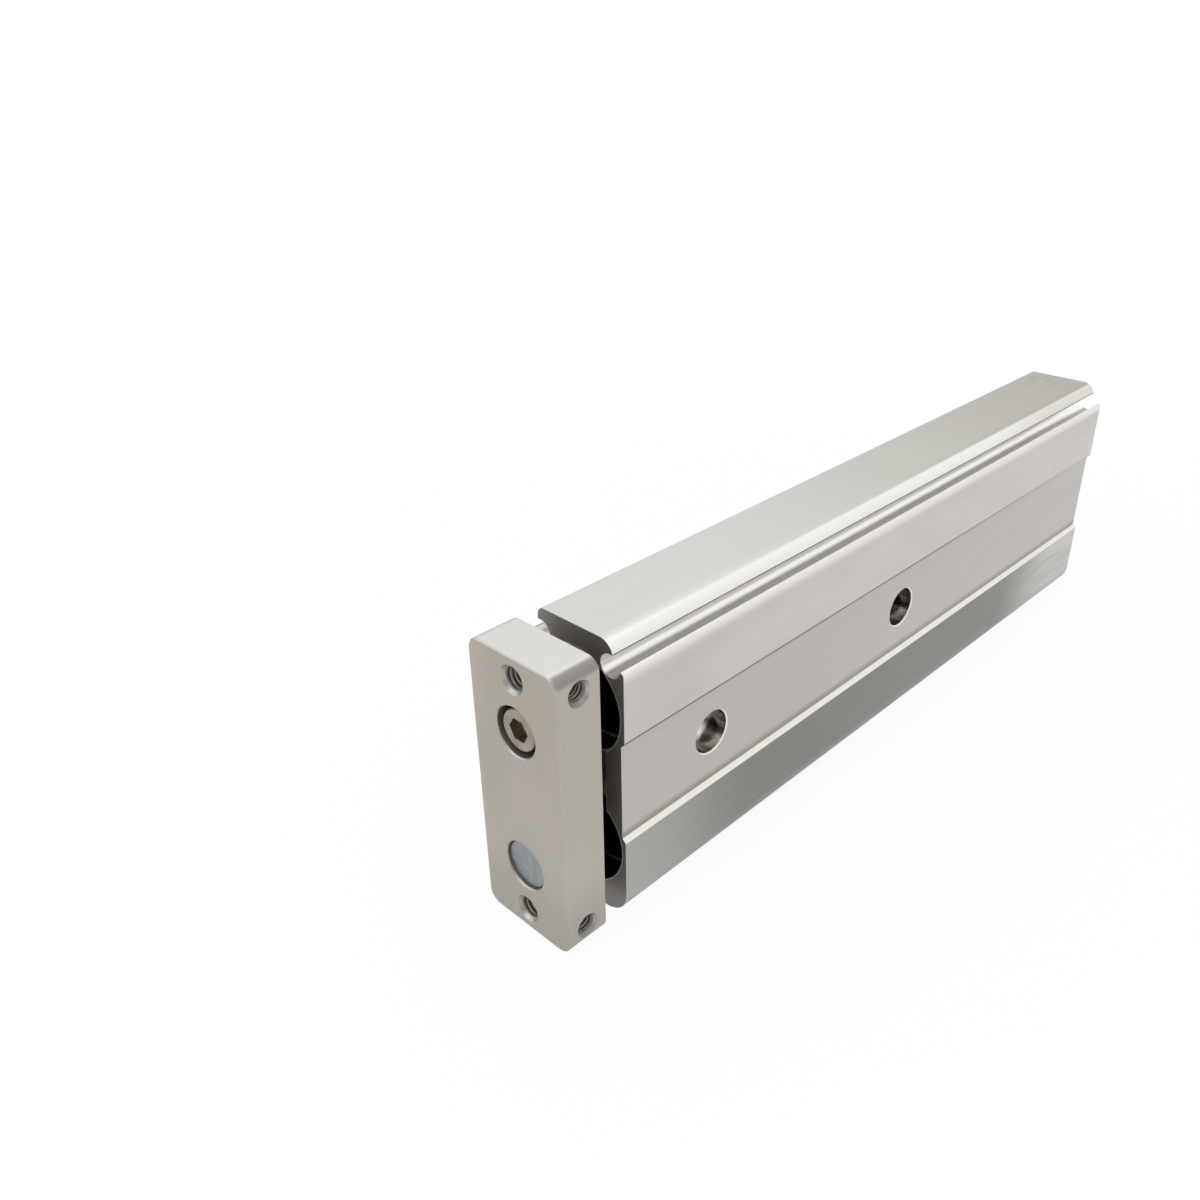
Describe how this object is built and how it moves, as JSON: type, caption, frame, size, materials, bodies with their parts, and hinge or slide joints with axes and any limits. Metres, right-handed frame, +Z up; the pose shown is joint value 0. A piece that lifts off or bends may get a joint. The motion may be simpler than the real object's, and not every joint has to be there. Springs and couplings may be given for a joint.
{
  "type": "compact dual rod cylinder",
  "caption": "Compact pneumatic cylinder with two parallel piston rods side by side in one slim extruded body, joined by an end plate that slides out without turning.",
  "frame": {"origin": "centre of the box at the underside, where the housing stands on its narrow side", "axes": "+X from the end plate to the housing's rear, +Z up along the line of the two rods, +Y towards the broad side with the air ports; the rods leave towards -X"},
  "size_m": [0.2426, 0.0286, 0.073],
  "materials": {
    "anodised_housing": "clear anodised, satin, fine extrusion lines",
    "satin_plate": "satin, warm silver",
    "chromed_rod": "ground hard chrome",
    "nickel_steel": "nickel plated",
    "dark_steel": "black oxide",
    "urethane": "moulded polyurethane",
    "dark_cover": "dark hard anodised",
    "head_cover_alloy": "turned, anodised",
    "black_rubber": "moulded nitrile",
    "ring_steel": "phosphated spring steel",
    "piston_alloy": "chromated",
    "magnet_compound": "moulded magnet",
    "wear_resin": "filled resin"
  },
  "bodies": {
    "housing_group": {"housing": "anodised_housing", "stop_bolt": "dark_steel", "stop_lock_nut": "dark_steel", "stop_pad": "urethane", "upper_rod_cover": "dark_cover", "upper_rod_seal": "black_rubber", "upper_rod_cover_o_ring": "black_rubber", "upper_head_cover": "head_cover_alloy", "upper_head_cover_o_ring": "black_rubber", "upper_front_retaining_ring": "ring_steel", "upper_rear_retaining_ring": "ring_steel", "lower_rod_cover": "dark_cover", "lower_rod_seal": "black_rubber", "lower_rod_cover_o_ring": "black_rubber", "lower_head_cover": "head_cover_alloy", "lower_head_cover_o_ring": "black_rubber", "lower_front_retaining_ring": "ring_steel", "lower_rear_retaining_ring": "ring_steel"},
    "rod_group": {"end_plate": "satin_plate", "upper_rod": "chromed_rod", "lower_rod": "chromed_rod", "plate_cap_screw": "nickel_steel", "rod_set_screw": "dark_steel", "upper_piston": "piston_alloy", "upper_piston_seal": "black_rubber", "upper_piston_magnet": "magnet_compound", "upper_wear_ring": "wear_resin", "upper_front_bumper": "urethane", "upper_rear_bumper": "urethane", "upper_piston_nut": "nickel_steel", "lower_piston": "piston_alloy", "lower_piston_seal": "black_rubber", "lower_piston_magnet": "magnet_compound", "lower_wear_ring": "wear_resin", "lower_front_bumper": "urethane", "lower_rear_bumper": "urethane", "lower_piston_nut": "nickel_steel"}
  },
  "joints": [
    {"name": "rod_slide", "type": "slide", "parent": "housing_group", "child": "rod_group", "axis": [-1, 0, 0], "range_m": [0, 0.15]}
  ]
}
